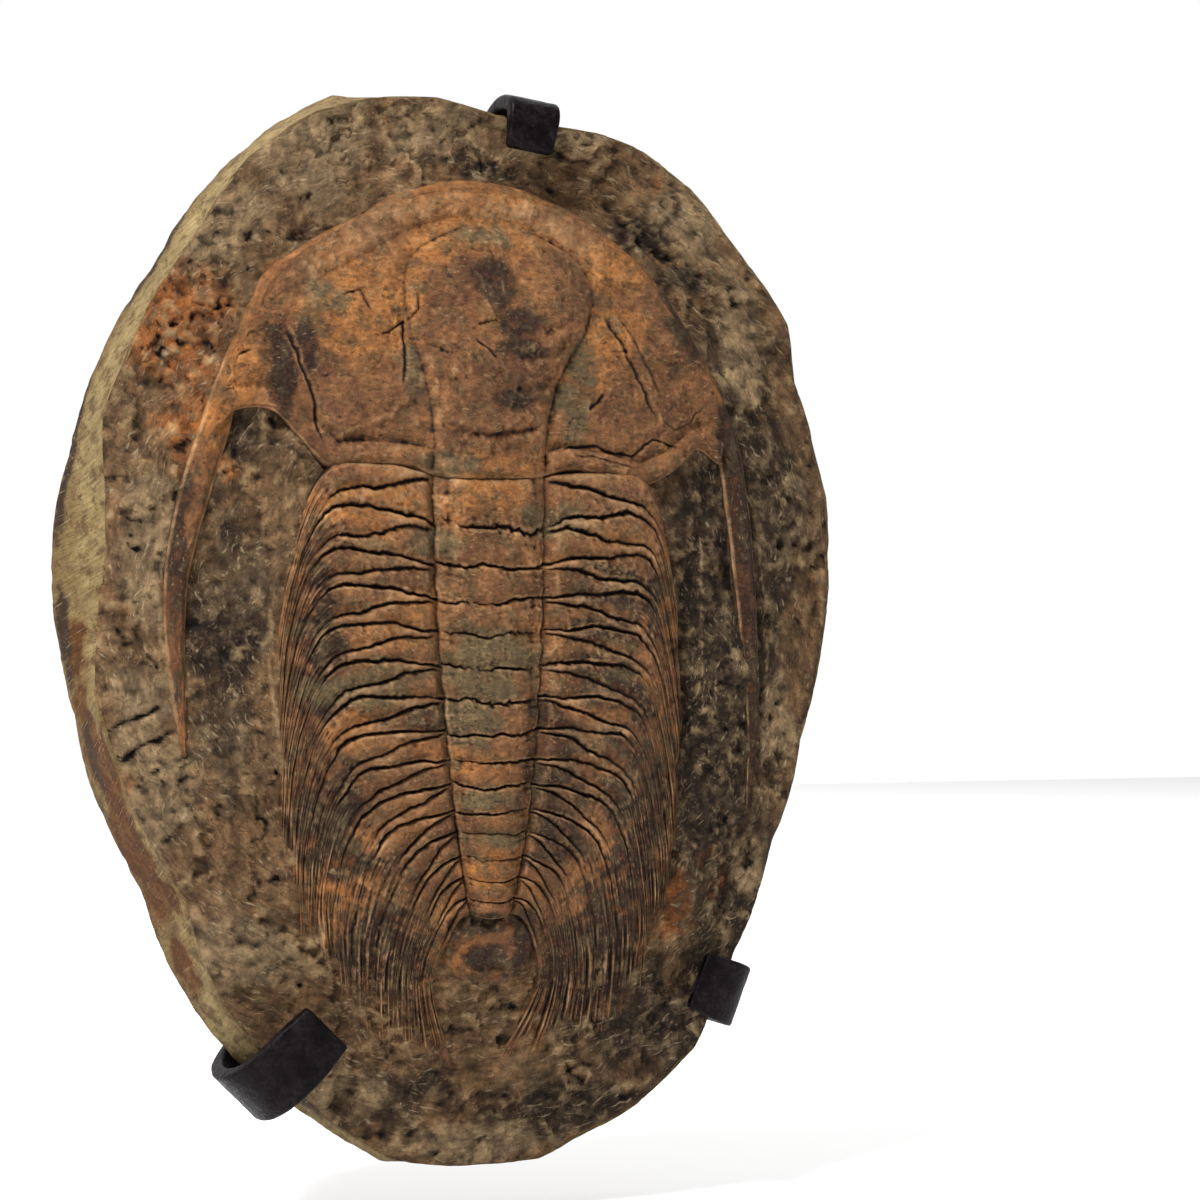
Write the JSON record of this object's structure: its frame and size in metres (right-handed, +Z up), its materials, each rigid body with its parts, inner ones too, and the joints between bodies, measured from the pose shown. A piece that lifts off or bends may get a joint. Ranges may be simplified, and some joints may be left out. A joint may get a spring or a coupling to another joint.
{
  "type": "trilobite fossil slab in iron cradle",
  "caption": "Giant Cambrian trilobite fossil in relief on an oval matrix slab, gripped by forged iron claws whose back arch bolts to a panel with a polished ammonite knob.",
  "frame": {"origin": "on the flat rear face of the cradle's arch, 20 mm above the axis of the bolt through it", "axes": "+X to the right seen from the front, +Y to the back, out of the arch's rear face, +Z up"},
  "size_m": [0.3429, 0.1175, 0.4585],
  "materials": {
    "matrix": "rough chiselled siltstone, rust brown on the fossil and olive tan on the sawn edge",
    "forged_iron": "forged and waxed, worn on the edges",
    "bolt_steel": "blackened",
    "ammonite": "polished brown shell with cream sutures"
  },
  "bodies": {
    "root": {"fossil_slab": "matrix", "spine_strap": "forged_iron", "left_arm": "forged_iron", "right_arm": "forged_iron", "bolt": "bolt_steel", "ammonite_knob": "ammonite"}
  },
  "joints": []
}
